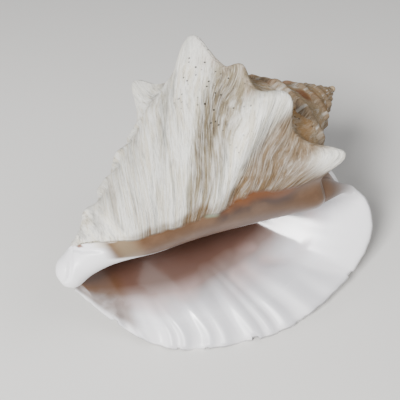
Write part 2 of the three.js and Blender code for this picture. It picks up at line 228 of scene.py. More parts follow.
# Lumps that stand out more: their part of the height of LUMP_ROWS, azimuth, spread
HIGH_LUMPS = 0.6
HIGH_LUMPS_AZIMUTH = 122
HIGH_LUMPS_SPREAD = 22

# Ribs that run down from the knobs: number of the skewed growth line, height, width, shares where each
# is highest and where it has ended
RIB_SKEW = 70
RIBS = [
    (190, 1.8, 8, 0.4, 0.66),
    (212, -2.8, 7, 0.36, 0.7),
    (241, 4.0, 4.5, 0.34, 0.6),
    (251, -2.4, 4.5, 0.34, 0.58),
    (259, 1.3, 2.6, 0.34, 0.52),
    (267, 1.1, 2.6, 0.34, 0.5),
    (173, -1.8, 6, 0.42, 0.68),
    (157, 1.8, 8, 0.42, 0.66),
    (128, -1.4, 8, 0.42, 0.7),
]

# Edge of the glazed callus on the last whorl: share of the profile, azimuth
CALLUS_EDGE = np.array([
    (0.0, 372),
    (0.26, 303),
    (0.32, 294),
    (0.4, 291),
    (0.46, 283),
    (0.52, 278),
    (0.57, 284),
    (0.6, 281),
    (0.68, 278),
    (0.74, 272),
    (0.79, 266),
    (0.84, 250),
    (0.87, 232),
    (0.9, 208),
    (0.93, 150),
    (0.96, 60),
    (1.0, 60),
])
CALLUS_THICKNESS = 0.5
CALLUS_RAGGEDNESS = 1.5
CALLUS_END = 456

# Callus as degrees past its edge: no callus, and where its glaze comes in
NO_CALLUS = -20
GLAZE_OVER = (-1, 2)

# Groove between the callus and the rolled cord beside the canal
CORD_GROOVE_PAST_EDGE = 22
CORD_GROOVE_DEPTH = 1.5
CORD_GROOVE_WIDTH = 8

# Groove round the tip of the canal, beside its outer cord: azimuth and share where it starts, and how
# its share rises with each degree
TIP_GROOVE_FROM = (201, 0.921)
TIP_GROOVE_RISE = 0.00084
TIP_GROOVE_DEPTH = 1.4
TIP_GROOVE_WIDTH = 0.009

# Waves of the lip towards its rim: share of the profile, height, width as a share
LIP_WAVES = [
    (0.36, 1.7, 0.026),
    (0.44, 2.7, 0.024),
    (0.505, 2.5, 0.015),
    (0.545, 1.7, 0.012),
    (0.602, 3.4, 0.019),
    (0.65, 1.7, 0.01),
    (0.688, 3.2, 0.016),
    (0.733, 1.5, 0.009),
    (0.778, 3.2, 0.018),
    (0.84, 2.3, 0.02),
]
WAVE_SWAY = 0.02
WAVE_RIPPLE = 0.7
WAVE_DROP = 1.8
WAVES_OVER = (0.42, 0.92)

# Crease inside the lip, from the rim inwards: share of the profile, place between body and rim
CREASE = np.array([(0.298, 1.0), (0.312, 0.9), (0.328, 0.78), (0.342, 0.69), (0.39, 0.63)])
CREASE_HEIGHT = 1.3
CREASE_WIDTH = 0.03

# Chips of the rim: share of the profile, depth, half width as a share
CHIPS = [
    (0.886, 3.4, 0.006),
    (0.724, 1.2, 0.003),
    (0.665, 1.0, 0.003),
    (0.566, 2.4, 0.0065),
    (0.3, 1.8, 0.006),
    (0.5, 0.5, 0.008),
    (0.455, 0.7, 0.005),
    (0.4, 0.5, 0.006),
]
DEEP_CHIP = 0.9
RIM_RAGGEDNESS = 0.7

# Rounded first whorl at the apex
NUB_RADIUS = 2.3
NUB_Z = 75.2

# Resting pose of the whorl frame, and how far the shell stays inside the CAD box
AXIS_HEADING = 36.5
AXIS_PITCH = 13.1
AXIS_ROLL = -38.4
ORIGIN_AT = np.array([9.1, 11.5, 96])
BOX_MARGIN = 0.02

# Rows and columns of the wall: azimuths of the rows, then first share, last share and count of columns
SPIRE_AZIMUTHS = [*range(2610, 1530, -15), *range(1530, 612, -5), *range(612, 477, -3)]
BODY_FROM = 476
BODY_STEP = 1.75
LIP_ROWS = 48
INNER_END = 330
INNER_STEP = 6
COLUMNS = [(0, 0.25, 38), (0.25, 0.36, 26), (0.36, 0.9, 90), (0.9, 1, 26)]

# Faces left out: outside ones that later whorls bury, past an azimuth and a share, and inside ones in
# the suture, up to a share and a place on the lip
BURIED_FROM = 546
BURIED_SHARE = 0.37
SUTURE_SHARE = 0.07
SUTURE_UNTIL = 0.6

# Camera, placed from the whorl frame's origin in millimetres
CAMERA_FROM_ORIGIN = np.array([-26.99, -260.64, 219.29])
CAMERA_PITCH = 45
CAMERA_FIELD = 40
CAMERA_SENSOR = 36

# Floor and light, in metres; each lamp has a size, a power and a place
FLOOR_REACH = 3
LAMPS = {
    "window": (0.35, 37, (-0.56, -0.86, 0.92)),
    "fill": (1.0, 9, (0.9, -0.25, 1.1)),
}
LAMP_AIM = Vector((0, 0, 0.05))
SKY_COLOUR = (0.9, 0.93, 1, 1)
SKY_STRENGTH = 0.15


# Curves and noise


def smooth(value, low, high):
    """0 at low, 1 at high, and smooth between them."""
    t = np.clip((value - low) / (high - low), 0, 1)
    return t * t * (3 - 2 * t)


def lerp(a, b, t):
    """From a, where t is 0, to b, where it is 1."""
    return a + (b - a) * t


def ridge(distance):
    """A rounded ridge of height 1 at distance 0."""
    return np.exp(-distance * distance)


def ripple(x, y, seed):
    """Smooth random values from -1 to 1 on a plane, with lumps one unit apart."""
    size = 64
    table = np.random.default_rng(seed).uniform(-1, 1, (size, size))
    x, y = np.broadcast_arrays(x, y)
    column, row = np.floor(x).astype(int), np.floor(y).astype(int)
    across, down = smooth(x - column, 0, 1), smooth(y - row, 0, 1)

    def value(rows, columns):
        return table[rows % size, columns % size]

    near = lerp(value(row, column), value(row, column + 1), across)
    far = lerp(value(row + 1, column), value(row + 1, column + 1), across)
    return lerp(near, far, down)


def layered(x, y, seed, octaves):
    """Ripples of falling size, each half as wide and high as the one before it."""
    return sum(ripple(x * 2**k, y * 2**k, seed + k) / 2**k for k in range(octaves))


def hermite(start, start_slope, end, end_slope, t):
    """A smooth curve from start, where t is 0, to end, where it is 1, with these slopes there."""
    return (start * (2 * t**3 - 3 * t**2 + 1) + start_slope * (t**3 - 2 * t**2 + t)
            + end * (3 * t**2 - 2 * t**3) + end_slope * (t**3 - t**2))


def curve_at(table, place):
    """Values of smooth curves through a table's rows, at places along its first column."""
    at, values = table[:, 0], table[:, 1:]
    row = np.arange(len(at))
    before, after = np.maximum(row - 1, 0), np.minimum(row + 1, len(at) - 1)
    slopes = (values[after] - values[before]) / (at[after] - at[before])[:, None]
    i = np.clip(np.searchsorted(at, place, side="right") - 1, 0, len(at) - 2)
    span = (at[i + 1] - at[i])[:, None]
    t = (place - at[i])[:, None] / span
    return hermite(values[i], slopes[i] * span, values[i + 1], slopes[i + 1] * span, t)


def unit(vectors):
    """The same directions, one long."""
    return vectors / np.maximum(np.linalg.norm(vectors, axis=-1, keepdims=True), 1e-9)


# Whorls


def growth(azimuth):
    """Size of the whorl, which is 1 at the reference azimuth."""
    return WHORL_RATIO ** ((REFERENCE_AZIMUTH - azimuth) / 360)


def sharp_profile(azimuth, share):
    """Radius and height of the smooth whorl, with a sharp shoulder."""
    size = growth(azimuth)
    recovery = SHOULDER_RECOVERY * smooth(azimuth, *SHOULDER_RECOVERY_OVER)
    drop = SHOULDER_DROP * smooth(azimuth, *SHOULDER_DROP_OVER) * (1 - recovery)
    coil_z = APEX_Z - SHOULDER_DEPTH * size
    shoulder_z = coil_z - drop
    beyond_canal = SHOULDER_RADIUS * size - CANAL_RADIUS

    down = np.clip((share - SHOULDER_AT) / (1 - SHOULDER_AT), 0, 1)
    side_z = lerp(shoulder_z, CANAL_Z, down)
    taper = np.cos(np.pi / 2 * (coil_z - side_z) / (coil_z - CANAL_Z)).clip(0) ** BODY_TAPER
    slimmed = smooth(azimuth, *COLUMELLA_SLIM_OVER) * smooth(down, 0.02, 0.6)
    waist = COLUMELLA_WAIST * smooth(azimuth, *COLUMELLA_WAIST_OVER) * smooth(down, 0.5, 0.85)
    bulb = CANAL_BULB * smooth(down, 0.88, 0.97)
    rounding = np.clip((down - TIP_ROUNDED_FROM) / (1 - TIP_ROUNDED_FROM), 0, 1)
    body_r = beyond_canal * taper * lerp(1, COLUMELLA_SLIMNESS, slimmed)
    side_r = (CANAL_RADIUS + bulb - waist + body_r) * np.sqrt(1 - rounding**2)

    before = size / WHORL_RATIO
    suture_r = SHOULDER_RADIUS * before - SUTURE_LAP
    suture_z = APEX_Z - (SHOULDER_DEPTH + SUTURE_TUCK) * before
    shoulder_taper = np.cos(np.pi / 2 * drop / (coil_z - CANAL_Z)) ** BODY_TAPER
    shoulder_r = CANAL_RADIUS + beyond_canal * shoulder_taper
    out = np.clip(share / SHOULDER_AT, 0, 1)
    ramp_r = lerp(suture_r, shoulder_r, out)
    ramp_z = lerp(suture_z, shoulder_z, out) - RAMP_HOLLOW * size * np.sin(np.pi * out)

    on_ramp = share < SHOULDER_AT
    return np.where(on_ramp, ramp_r, side_r), np.where(on_ramp, ramp_z, side_z)


def plain_profile(azimuth, share):
    """Radius and height of the smooth whorl, with its shoulder rounded by a mean over nearby shares."""
    reach = SHOULDER_ROUNDING * ridge((share - SHOULDER_AT) / SHOULDER_ROUNDING_WIDTH)
    steps = np.linspace(-1, 1, 9)
    weights = 1 - 0.8 * steps**2
    nearby = [np.stack(sharp_profile(azimuth, share + step * reach)) for step in steps]
    return sum(weight * profile for weight, profile in zip(weights, nearby)) / weights.sum()


def all_knobs():
    """The knobs of the last whorl and the small ones of the spire."""
    early = [(at, EARLY_KNOB_REACH * growth(at), 0, EARLY_KNOB_WIDTH) for at in EARLY_KNOBS]
    return KNOBS + early


def knob_lift(azimuth, share):
    """How far the knobs and the ribs below them push outwards and towards the apex."""
    along = (share - SHOULDER_AT) / KNOB_WIDTH
    fade = np.where(share < SHOULDER_AT, 0, 1 - smooth(share, SHOULDER_AT, KNOB_RIB_END))
    outwards, upwards = 0, 0
    for at, reach, rise, width in all_knobs():
        across = (azimuth - at) / width
        distance = np.sqrt(across**2 + along**2 + KNOB_BLUNTNESS**2) - KNOB_BLUNTNESS
        height = np.exp(-KNOB_STEEPNESS * distance**KNOB_CURVE)
        outwards = outwards + reach * (height + KNOB_RIB * fade * (1 - height) * ridge(across))
        upwards = upwards + rise * height
    return outwards, upwards


def lump_lift(azimuth, share):
    """How far the low lumps of the back push outwards."""
    fade = ridge((azimuth - LUMP_AZIMUTH) / LUMP_SPREAD)
    return fade * sum(height * ridge((share - at) / LUMP_WIDTH) for at, height in LUMP_ROWS)


def bent(azimuth, r, z):
    """Points in the whorl frame, where the canal bends away from the mouth."""
    along = np.clip((CANAL_BEND_FROM - z) / (CANAL_BEND_FROM - CANAL_Z), 0, 1)
    angle = np.radians(azimuth)
    x = r * np.cos(angle) + CANAL_BEND_X * np.sin(np.pi * along) ** 2
    y = r * np.sin(angle) + CANAL_BEND_Y * smooth(along, 0, 1)
    z = z + TIP_PULL * smooth(z, TIP_PULL_FROM, CANAL_Z)
    return np.stack(np.broadcast_arrays(x, y, z), -1)


def whorl_points(azimuth, share, inset):
    """Points at a depth under the surface of the whorls, one for each azimuth and share."""
    r, z = plain_profile(azimuth, share)
    lift, rise = knob_lift(azimuth, share)
    return bent(azimuth, r + lift + lump_lift(azimuth, share) - inset, z + rise)


# Lip and web


def lip_points(u, share):
    """Smooth outer face of the lip, rows along u from the body (0) to the rim (1)."""
    held = np.minimum(share, LIP_CANAL_END)
    start = bent(LIP_FROM, *plain_profile(LIP_FROM, held))
    ahead = unit(bent(LIP_FROM - 1, *plain_profile(LIP_FROM - 1, held)) - start)
    end = curve_at(RIM, share)
    span = np.linalg.norm(end - start, axis=-1, keepdims=True)
    fan = (end[:, 2] - LIP_FAN_Z) / end[:, 0]
    outward = unit(np.stack([np.ones_like(fan), np.full_like(fan, LIP_DROOP), fan], -1))
    flare = lerp(outward, LIP_CORNER, (1 - smooth(share, *LIP_CORNER_OVER))[:, None])
    return hermite(start, ahead * span * LIP_PULL_FROM_BODY, end, flare * span * LIP_PULL_AT_RIM,
                   u[..., None])


def lip_depth(u, share, depth):
    """Points at a depth under the outer face of the lip, one for each u and share."""
    step = 0.004
    ahead = lip_points(np.minimum(u + step, 1), share) - lip_points(u - step, share)
    down = lip_points(u, share + step) - lip_points(u, np.maximum(share - step, 0))
    return lip_points(u, share) - unit(np.cross(ahead, down)) * depth[:, None]


def web_grids():
    """The hollow face of the web, its edge, and the skirt that closes the corner behind it."""
    place = np.linspace(0, WEB_END, WEB_ROWS)
    across = np.linspace(0, 1, WEB_COLUMNS)
    azimuth, whorl, u, share = curve_at(WEB, place).T
    thickness = lerp(WALL, RIM_WALL, u)
    step = 0.02
    start = whorl_points(azimuth, whorl, WEB_LAP)
    end = lip_depth(u, share, thickness - WEB_LAP)
    pull = lerp(WEB_PULL_AT_EDGE, WEB_PULL_INSIDE, smooth(place, *WEB_PULL_OVER))
    reach = (np.linalg.norm(end - start, axis=-1) * pull)[:, None]
    start_slope = unit(whorl_points(azimuth, whorl - step, WEB_LAP) - start) * reach
    end_slope = unit(lip_depth(u, share + step, thickness - WEB_LAP) - end) * reach
    sides = [side[:, None] for side in (start, start_slope, end, end_slope)]
    face = hermite(*sides, across[None, :, None])

    crotch = lip_depth(u, share * SKIRT_ON_LIP, thickness / 2)
    ramp = whorl_points(azimuth, np.full_like(azimuth, SKIRT_ON_RAMP), SKIRT_DEPTH)
    skirt = lerp(crotch[:, None], ramp[:, None], np.linspace(0, 1, 6)[None, :, None])

    corners = np.stack([start[0], ramp[0], crotch[0], end[0]], -1)
    columns = np.arange(WEB_COLUMNS)
    behind = np.stack([np.interp(columns, WEB_CORNERS_AT, axis) for axis in corners], -1)
    inwards = np.linspace(0, 1, 9)[:, None, None]
    bulge = unit(np.cross(end[0] - start[0], ramp[0] - start[0])) * WEB_EDGE_BULGE
    swell = np.sin(np.pi * inwards) * np.sin(np.pi * across)[None, :, None]
    return face, lerp(face[:1], behind[None], inwards) + bulge * swell, skirt


# Growth lines and relief


def growth_line(azimuth, share):
    """The azimuth that a growth line through this place has at the shoulder."""
    below = np.maximum(share - SHOULDER_AT, 0)
    above = np.maximum(SHOULDER_AT - share, 0)
    swept = LINE_SWEEP / LINE_SWEEP_RISE * (np.exp(LINE_SWEEP_RISE * below) - 1)
    return azimuth - swept - RAMP_SWEEP * above


def wandering_line(azimuth, share):
    """A growth line's number with the small bends that its ridges have."""
    line = growth_line(azimuth, share)
    return line + LINE_WANDER * layered(share * 9, line / 30, 71, 2)


def neck_line(azimuth, share):
    """Number of the ridge round the neck of the canal that passes through a place."""
    return NECK_LINES * (share - NECK_SLANT * azimuth)


def rib_line(azimuth, share):
    """A growth line's number, skewed so that the ribs below the knobs follow it."""
    return growth_line(azimuth, share) + RIB_SKEW * (share - SHOULDER_AT)


def rib_lift(azimuth, share):
    """Height of the ribs that run down from the knobs, and depth of the hollows between them."""
    line = rib_line(azimuth, share)
    return sum(height * ridge((line - at) / width)
               * smooth(share, SHOULDER_AT, highest) * (1 - smooth(share, highest, ended))
               for at, height, width, highest, ended in RIBS)


def relief(azimuth, share):
    """Height of growth ridges and folds on the outside of the shell."""
    line = growth_line(azimuth, share)
    wander = wandering_line(azimuth, share)
    on_neck = smooth(share, *NECK_OVER)
    folds = FOLD_HEIGHT * layered(wander / FOLD_WIDTH, share * 5, 11, 2) * (1 - 0.6 * on_neck)
    ridges = RIDGE_HEIGHT * ripple(wander / RIDGE_WIDTH, share * 11, 21) * (1 - smooth(share, 0.5, 0.8))
    striae = STRIA_HEIGHT * ripple(wander / STRIA_WIDTH, share * 15, 31) * (1 - smooth(share, 0.4, 0.7))
    neck = NECK_RIDGE_HEIGHT * ripple(neck_line(azimuth, share), azimuth / NECK_RIDGE_LENGTH, 41) * on_neck
    cords = CORD_HEIGHT * ripple(share * CORDS, line / 40, 51)
    worn = 1 - SPIRE_WEAR * smooth(azimuth, *SPIRE_OVER)
    lumps = HIGH_LUMPS * lump_lift(azimuth, share) * ridge((azimuth - HIGH_LUMPS_AZIMUTH) / HIGH_LUMPS_SPREAD)
    tip = 1 - smooth(share, 0.93, 0.97)
    return ((folds + ridges + striae + neck + cords) * worn + rib_lift(azimuth, share) + lumps) * tip


def callus_reach(azimuth, share):
    """How far past the edge of the callus a place on the whorl is, in degrees."""
    edge = np.interp(share, CALLUS_EDGE[:, 0], CALLUS_EDGE[:, 1])
    reach = azimuth - edge - CALLUS_RAGGEDNESS * layered(share * 40, 0, 61, 2)
    on_ramp = share < 0.27 + 0.12 * smooth(azimuth, 370, 415)
    return np.where(on_ramp | (azimuth > CALLUS_END), NO_CALLUS, reach)


def cord_groove(azimuth, share):
    """Depth of the grooves beside the rolled cord of the canal and round its tip."""
    across = (callus_reach(azimuth, share) - CORD_GROOVE_PAST_EDGE) / CORD_GROOVE_WIDTH
    cord = CORD_GROOVE_DEPTH * ridge(across) * smooth(share, 0.83, 0.87) * (1 - smooth(share, 0.91, 0.93))
    from_azimuth, from_share = TIP_GROOVE_FROM
    across = (share - from_share - TIP_GROOVE_RISE * (azimuth - from_azimuth)) / TIP_GROOVE_WIDTH
    tip = TIP_GROOVE_DEPTH * ridge(across) * smooth(azimuth, 180, 200) * (1 - smooth(azimuth, 262, 282))
    return np.maximum(cord, tip)


def lip_wave(on_lip, share):
    """Height of the waves and the crease of the lip, which both its faces follow."""
    swayed = share + WAVE_SWAY * ripple(on_lip * 3.5, share * 12, 81)
    waves = sum(height * ridge((swayed - at) / width) for at, height, width in LIP_WAVES)
    waves = waves - WAVE_DROP + WAVE_RIPPLE * ripple(share * 16, on_lip * 2.5, 82)
    waves = waves * smooth(share, 0.33, 0.38) * (1 - smooth(share, 0.86, 0.92))
    across = (share - np.interp(on_lip, CREASE[::-1, 1], CREASE[::-1, 0])) / CREASE_WIDTH
    crease = CREASE_HEIGHT * across * np.exp(0.5 - 0.5 * across * across) * smooth(on_lip, 0.5, 0.7)
    return waves * smooth(on_lip, *WAVES_OVER) - crease


def rim_shortening(share):
    """How far chips and raggedness take the rim back, in millimetres."""
    chips = sum(depth * (np.abs(share - at) < half * 1.1) for at, depth, half in CHIPS)
    ragged = RIM_RAGGEDNESS * (1 + ripple(share * 90, 0, 5)) * (0.6 + 0.4 * ripple(share * 31, 0, 6))
    return chips + ragged * smooth(share, 0.04, 0.12)


def thickness_of(on_lip):
    """Thickness of the wall, which rounds off to nothing at the rim."""
    rounding = np.clip((on_lip - (1 - RIM_ROUNDING)) / RIM_ROUNDING, 0, 1)
    return lerp(WALL, RIM_WALL, on_lip) * np.sqrt(1 - rounding**2)


# Surface


def column_shares():
    """Shares of the columns, with more of them at each deep chip of the rim."""
    steps = [np.linspace(low, high, count, endpoint=False) for low, high, count in COLUMNS]
    offsets = np.array([-1.3, -1, -0.35, 0.35, 1, 1.3])
    chips = [at + half * offsets for at, depth, half in CHIPS if depth > DEEP_CHIP]
    shares = np.sort(np.concatenate([*steps, *chips, [1.0]]))
    closest = 0.0008
    return shares[np.concatenate([[True], np.diff(shares) > closest])]


class Wall:
    """The shell's wall: rows round the whorls and then out over the lip, against the columns' shares."""

    def __init__(self):
        self.share = column_shares()
        body = np.arange(BODY_FROM, LIP_FROM + 0.1, -BODY_STEP)
        whorls = np.concatenate([SPIRE_AZIMUTHS, body, [LIP_FROM]])
        u = np.linspace(0, 1, LIP_ROWS + 1)[1:]
        self.turn = np.concatenate([whorls, LIP_FROM - LIP_TURN * u])
        self.on_lip = np.concatenate([np.zeros(len(whorls)), u])
        azimuth, share = whorls[:, None], self.share[None]
        body_plain = bent(azimuth, *plain_profile(azimuth, share))
        lip_length = np.linalg.norm(curve_at(RIM, self.share) - body_plain[-1], axis=-1)
        kept = 1 - rim_shortening(self.share) / np.maximum(lip_length, SHORTEST_LIP)
        lip_u = u[:, None] * lerp(1, kept[None], smooth(u, 0.8, 1)[:, None])
        self.plain = np.concatenate([body_plain, lip_points(lip_u, self.share)])
        along_growth, along_share = np.gradient(self.plain, axis=(0, 1))
        self.normal = unit(np.cross(along_growth, along_share))

    def outer(self):
        """Points of the outer surface with its knobs, ribs and lumps."""
        azimuth, share = self.turn[:, None], self.share[None]
        lift, rise = knob_lift(azimuth, share)
        lift = lift + lump_lift(azimuth, share)
        angle = np.radians(azimuth)
        radial = np.stack(np.broadcast_arrays(np.cos(angle), np.sin(angle), 0 * share), -1)
        on_lip = self.on_lip[:, None, None]
        push = lerp(radial, self.normal, smooth(on_lip, 0, 0.25)) * lift[..., None]
        push[..., 2] += rise
        glazed = smooth(callus_reach(azimuth, share), *GLAZE_OVER)
        chalky = relief(azimuth, share) * (1 - glazed) * (1 - smooth(lift, 16, 26))
        height = chalky + CALLUS_THICKNESS * glazed - cord_groove(azimuth, share)
        height = height + lip_wave(self.on_lip[:, None], share)
        return self.plain + push * (1 - smooth(on_lip, 0.5, 0.9)) + self.normal * height[..., None]

    def inner(self):
        """Points of the inside of the wall."""
        wave = lip_wave(self.on_lip[:, None], self.share[None])
        thinned = 1 - 0.9 * smooth(self.share, 0.955, 0.985)
        depth = thickness_of(self.on_lip)[:, None] * thinned - wave
        return self.plain - self.normal * depth[..., None]


def both_faces(wall):
    """Rows of the outer surface, and back from the rim along the inside, with each row's place.

    Both faces share the rim's row. Past the lip the inside goes on deep into the mouth."""
    inner = wall.inner()
    back = np.flatnonzero(wall.on_lip)[::-1][1:]
    whorls = inner[wall.on_lip == 0]
    deep = np.arange(LIP_FROM, INNER_END, INNER_STEP)
    row = np.interp(-deep, -wall.turn[: len(whorls)], np.arange(len(whorls)))
    low = np.floor(row).astype(int)
    high = np.minimum(low + 1, len(whorls) - 1)
    deep_points = lerp(whorls[low], whorls[high], (row - low)[:, None, None])
    points = np.concatenate([wall.outer(), inner[back], deep_points])
    turn = np.concatenate([wall.turn, wall.turn[back], deep])
    on_lip = np.concatenate([wall.on_lip, wall.on_lip[back], 0 * deep])
    inside = np.where(np.arange(len(points)) < len(wall.turn), 0, 1)
    return points, turn, on_lip, inside


def kept_faces(turn, on_lip, inside, share):
    """Faces of the wall that aren't buried under a later whorl or in the suture of the inside."""
    turn, on_lip, inside = turn[:-1, None], on_lip[:-1, None], inside[:-1, None]
    share = share[None, 1:]
    under_whorl = (inside == 0) & (turn > BURIED_FROM) & (share > BURIED_SHARE)
    in_suture = (inside == 1) & (on_lip < SUTURE_UNTIL) & (share < SUTURE_SHARE)
    return ~(under_whorl | in_suture)


def nub():
    """The rounded first whorl at the apex."""
    angle = np.linspace(0, 2 * np.pi, 25)[:, None]
    tilt = np.radians(np.linspace(-35, 88, 9))[None]
    radius, top = NUB_RADIUS * np.cos(tilt), NUB_Z + NUB_RADIUS * np.sin(tilt)
    return np.stack(np.broadcast_arrays(radius * np.cos(angle), radius * np.sin(angle), top), -1)


def finish_values(turn, share, inside, on_lip):
    """What the finish reads at each point.

    Line, rib, turn and past are in degrees, neck counts ridges, share is the place on the profile, relief
    and wave are heights in millimetres, lip is 0 on the body and 1 at the rim, and the rest are masks."""
    turn, share, inside, on_lip = np.broadcast_arrays(turn, share, inside, on_lip)
    past = callus_reach(turn, share)
    inside = np.maximum(inside, smooth(on_lip, 0.965, 0.99))
    outside = 1 - inside
    callus = outside * smooth(past, *GLAZE_OVER)
    lift, _ = knob_lift(turn, share)
    return {
        "line": wandering_line(turn, share),
        "rib": rib_line(turn, share),
        "neck": neck_line(turn, share),
        "share": share,
        "turn": turn,
        "lip": on_lip,
        "inside": inside,
        "callus": callus,
        "past": np.clip(past, NO_CALLUS, 90),
        "relief": outside * (1 - callus) * relief(turn, share),
        "knob": smooth(lift, 6, 15) * outside,
        "wave": lip_wave(on_lip, share),
    }


def quads_of(rows, columns, first):
    """Faces of a grid of points, whose numbers start at first."""
    vertex = first + np.arange(rows * columns).reshape(rows, columns)
    return np.stack([vertex[:-1, :-1], vertex[1:, :-1], vertex[1:, 1:], vertex[:-1, 1:]], -1)


def joined(grids):
    """Points, faces and values of several grids, each given with its values and the faces it keeps."""
    points, quads, values, first = [], [], [], 0
    for grid, given, kept in grids:
        faces = quads_of(*grid.shape[:2], first)
        points.append(grid.reshape(-1, 3))
        quads.append((faces if kept is None else faces[kept]).reshape(-1, 4))
        values.append({key: np.broadcast_to(value, grid.shape[:2]).ravel() for key, value in given.items()})
        first += len(points[-1])
    together = {key: np.concatenate([given[key] for given in values]) for key in values[0]}
    return np.concatenate(points), np.concatenate(quads), together


def build_surface():
    """Points and faces of the whole shell, with the values that its finish reads."""
    wall = Wall()
    points, turn, on_lip, inside = both_faces(wall)
    face, edge, skirt = web_grids()
    web_azimuth = curve_at(WEB, np.linspace(0, WEB_END, WEB_ROWS))[:, :1]
    like_rim = finish_values(turn=0, share=0.2, inside=1, on_lip=1)
    like_ramp = finish_values(turn=330, share=0.1, inside=0, on_lip=0)
    like_apex = finish_values(turn=2000, share=0.1, inside=0, on_lip=0)
    from_callus_to_lip = {
        "inside": smooth(np.linspace(0, 1, WEB_COLUMNS)[None], *WEB_GLAZE_OVER),
        "callus": 1,
        "past": web_azimuth - WEB[0, 1] + WEB_CALLUS_FROM,
    }
    return joined([
        (points, finish_values(turn[:, None], wall.share[None], inside[:, None], on_lip[:, None]),
         kept_faces(turn, on_lip, inside, wall.share)),
        (face, {**like_rim, **from_callus_to_lip}, None),
        (edge, like_rim, None),
        (skirt, like_ramp, None),
        (nub(), like_apex, None),
    ])


def to_row_frame(points):
    """Whorl frame in millimetres to row frame in metres."""
    def turned(degrees, axis):
        c, s = math.cos(math.radians(degrees)), math.sin(math.radians(degrees))
        if axis == "z":
            return np.array([[c, -s, 0], [s, c, 0], [0, 0, 1]])
        return np.array([[c, 0, s], [0, 1, 0], [-s, 0, c]])

    pose = turned(AXIS_HEADING, "z") @ turned(90 - AXIS_PITCH, "y") @ turned(AXIS_ROLL, "z")
    return (points @ pose.T + ORIGIN_AT) * MM


# Materials made of nodes


def srgb(red, green, blue):
    """Linear colour from the eight-bit values of a swatch."""
    def linear(value):
        value /= 255
        return value / 12.92 if value <= 0.04045 else ((value + 0.055) / 1.055) ** 2.4

    return (linear(red), linear(green), linear(blue), 1)


class Wire:
    """A value in a material, which Python's operators work on."""

    def __init__(self, finish, socket):
        self.finish = finish
        self.socket = socket

    def __add__(self, other):
        return self.finish.maths("ADD", self, other)

    def __sub__(self, other):
        return self.finish.maths("SUBTRACT", self, other)

    def __rsub__(self, other):
        return self.finish.maths("SUBTRACT", other, self)

    def __mul__(self, other):
        return self.finish.maths("MULTIPLY", self, other)

    def __truediv__(self, other):
        return self.finish.maths("DIVIDE", self, other)

    __radd__ = __add__
    __rmul__ = __mul__


class Finish:
    """A material that is being made from nodes."""

    def __init__(self, name):
        self.material = bpy.data.materials.new(name)
        self.material.use_nodes = True
        self.tree = self.material.node_tree
        self.tree.nodes.clear()

    def node(self, kind, settings=None, values=None, output=0):
        """A node with its settings, then its sockets' values or links. Gives one of its outputs."""
        made = self.tree.nodes.new("ShaderNode" + kind)
        for key, value in (settings or {}).items():
            if key == "stops":
                self.set_stops(made.color_ramp, value)
            else:
                setattr(made, key, value)
        for key, value in (values or {}).items():
            if isinstance(value, Wire):
                self.tree.links.new(value.socket, made.inputs[key])
            else:
                made.inputs[key].default_value = value
        return Wire(self, made.outputs[output]) if made.outputs else made

    @staticmethod
    def set_stops(ramp, stops):
        """Give a colour ramp its stops, each a position and a colour."""
        while len(ramp.elements) < len(stops):
            ramp.elements.new(0.5)
        for element, (position, colour) in zip(ramp.elements, stops):
            element.position = position
            element.color = colour

    def maths(self, operation, first, second):
        """One operation on two values, either of which may be a number."""
        return self.node("Math", {"operation": operation}, {0: first, 1: second})

    def attributes(self, *names):
        """Values that the mesh carries under these names."""
        return [self.node("Attribute", {"attribute_name": name}, output="Fac") for name in names]

    def scaled(self, vector, scale):
        """A vector made longer."""
        return self.node("VectorMath", {"operation": "SCALE"}, {0: vector, "Scale": scale})

    def vector(self, x, y, z):
        """A vector of three values."""
        return self.node("CombineXYZ", None, {0: x, 1: y, 2: z})

    def noise(self, vector, detail, roughness=0.55):
        """Cloudy values about 0.5, with lumps about one unit apart."""
        values = {"Vector": vector, "Scale": 1.0, "Detail": detail, "Roughness": roughness}
        return self.node("TexNoise", None, values, "Fac")

    def step(self, value, low, high):
        """0 at low, 1 at high, and smooth between them."""
        settings = {"interpolation_type": "SMOOTHSTEP"}
        if low < high:
            return self.node("MapRange", settings, {"Value": value, "From Min": low, "From Max": high})
        return 1 - self.step(value, high, low)

    def band(self, value, low, high, soft):
        """1 between two values, and 0 beyond them."""
        return self.step(value, low - soft, low + soft) * self.step(value, high + soft, high - soft)

    def spot(self, first, first_at, first_size, second, second_at, second_size):
        """1 at a place given by two values, and 0 beyond its size."""
        return (self.band(first, first_at - first_size, first_at + first_size, first_size / 2)
                * self.band(second, second_at - second_size, second_at + second_size, second_size / 2))

    def mix(self, first, second, factor):
        """A colour between two."""
        return self.node("Mix", {"data_type": "RGBA"}, {0: factor, 6: first, 7: second}, 2)

    def coats(self, colour, over):
        """A colour with others over it in turn, each with how much of it covers."""
        for coat, cover in over:
            colour = self.mix(colour, coat, cover)
        return colour

    def done(self, values):
        """The material, with the values or links of its shader's sockets."""
        surface = self.node("BsdfPrincipled", None, values, "BSDF")
        self.node("OutputMaterial", None, {"Surface": surface})
        return self.material


# Finishes of the shell

CHALK = srgb(243, 241, 233)
ASH = srgb(146, 146, 138)
BONE = srgb(204, 190, 156)
TAN = srgb(106, 82, 52)
RAMP_TAN = srgb(160, 136, 102)
MOSS = srgb(140, 130, 96)
# Dark brown: dirt in streaks round the neck and in the crack, and painted shade in the hollows of the relief
DIRT_AND_SHADE = srgb(62, 46, 30)
HONEY = srgb(168, 122, 62)
RUST = srgb(112, 62, 18)
ROSE = srgb(168, 126, 98)
# Near black of the painted shade inside the small bored holes
HOLE_SHADE = srgb(24, 18, 14)
CALLUS_TAN = srgb(84, 54, 24)
CALLUS_PALE = srgb(98, 68, 42)
CALLUS_BROWN = srgb(54, 26, 6)
FILM = srgb(130, 146, 122)
PORCELAIN = srgb(244, 242, 244)
BLUSH = srgb(204, 176, 172)
